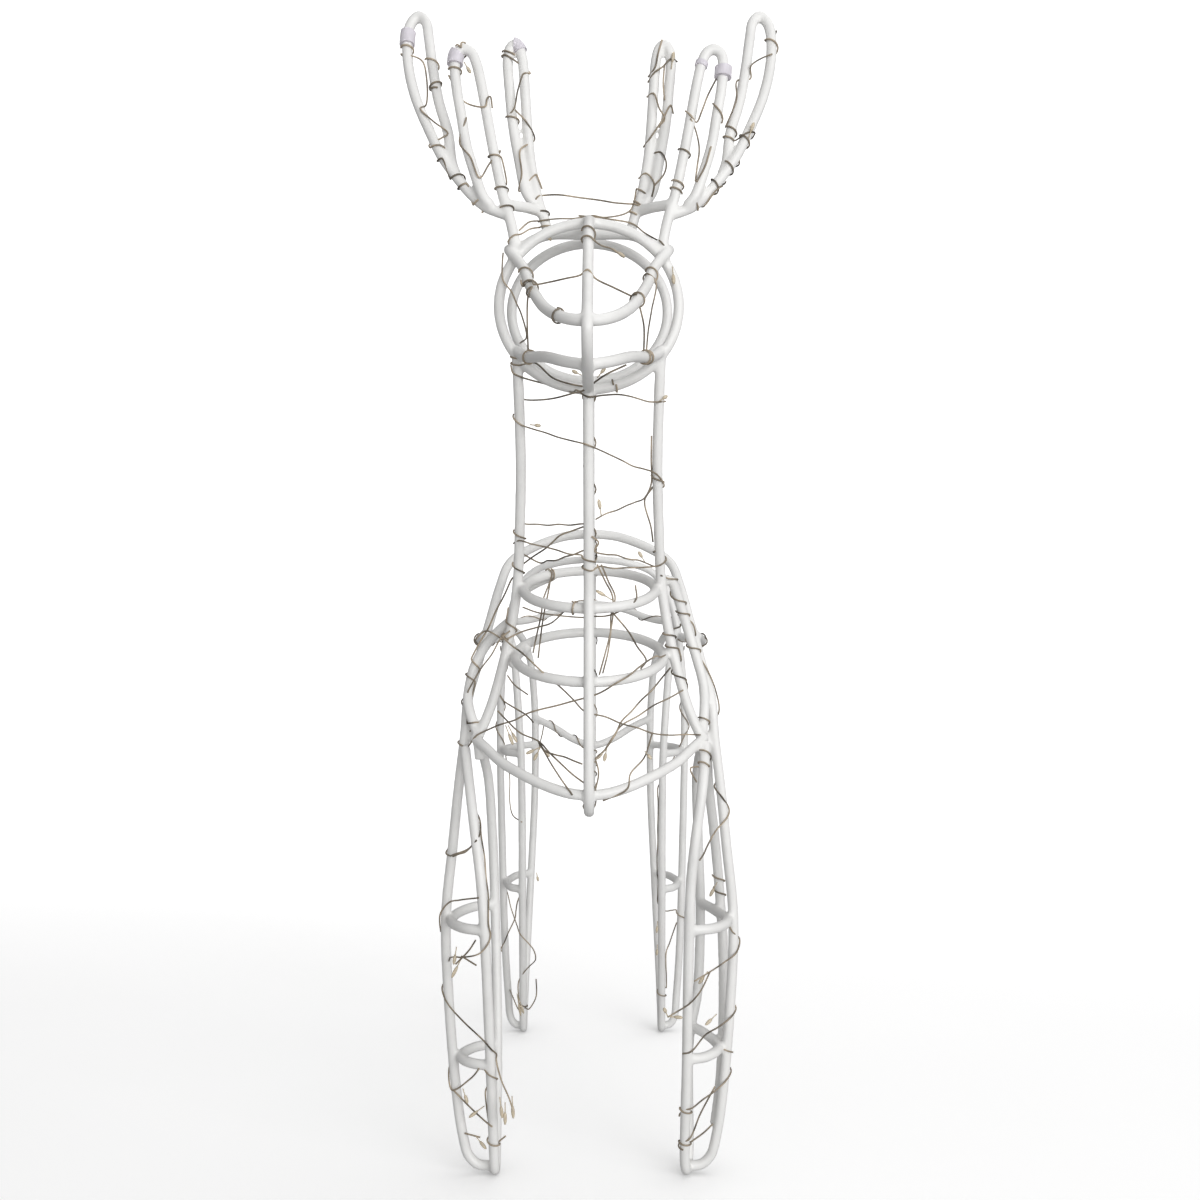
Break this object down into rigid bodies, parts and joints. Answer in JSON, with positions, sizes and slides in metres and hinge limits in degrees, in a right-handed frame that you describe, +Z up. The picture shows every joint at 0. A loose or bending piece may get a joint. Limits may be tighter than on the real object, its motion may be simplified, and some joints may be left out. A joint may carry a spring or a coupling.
{
  "type": "light-up reindeer",
  "caption": "Standing light-up reindeer drawn in white coated steel rod, with three-tined antlers and a thin light string wound along the frame.",
  "frame": {"origin": "on the ground under the middle of the deer's box", "axes": "+Z up, +Y from the nose to the tail, +X to the right as seen from in front of the deer"},
  "size_m": [0.2812, 0.7012, 0.8864],
  "materials": {
    "white_coat": "satin",
    "lead_cover": "matte"
  },
  "bodies": {
    "root": {"head_ring": "white_coat", "nape_ring": "white_coat", "face_rod": "white_coat", "muzzle_rod": "white_coat", "jaw_rod": "white_coat", "brow_bar": "white_coat", "left_antler_middle_tine": "white_coat", "left_antler_outer_tine": "white_coat", "left_antler_inner_tine": "white_coat", "left_antler_bar": "white_coat", "right_antler_middle_tine": "white_coat", "right_antler_outer_tine": "white_coat", "right_antler_inner_tine": "white_coat", "right_antler_bar": "white_coat", "neck_collar": "white_coat", "chest_hoop": "white_coat", "chest_bow": "white_coat", "neck_front_rod": "white_coat", "neck_back_rod": "white_coat", "left_neck_side_rod": "white_coat", "right_neck_side_rod": "white_coat", "spine_rod": "white_coat", "belly_rod": "white_coat", "rump_rod": "white_coat", "tail_rod": "white_coat", "left_front_leg_loop": "white_coat", "left_front_leg_outer_rod": "white_coat", "left_front_leg_upper_rung": "white_coat", "left_front_leg_lower_rung": "white_coat", "left_shoulder_rod": "white_coat", "right_front_leg_loop": "white_coat", "right_front_leg_outer_rod": "white_coat", "right_front_leg_upper_rung": "white_coat", "right_front_leg_lower_rung": "white_coat", "right_front_leg_brace": "white_coat", "right_shoulder_rod": "white_coat", "left_rear_leg_loop": "white_coat", "left_rear_leg_outer_rod": "white_coat", "left_rear_leg_upper_rung": "white_coat", "left_rear_leg_lower_rung": "white_coat", "left_side_rail": "white_coat", "right_rear_leg_loop": "white_coat", "right_rear_leg_outer_rod": "white_coat", "right_rear_leg_upper_rung": "white_coat", "right_rear_leg_lower_rung": "white_coat", "right_side_rail": "white_coat", "rump_hoop": "white_coat", "groin_bow": "white_coat", "left_hip_rod": "white_coat", "right_hip_rod": "white_coat", "collar_end": "white_coat", "chest_hoop_end": "white_coat", "shoulder_end": "white_coat", "light_string": "lead_cover"}
  },
  "joints": []
}
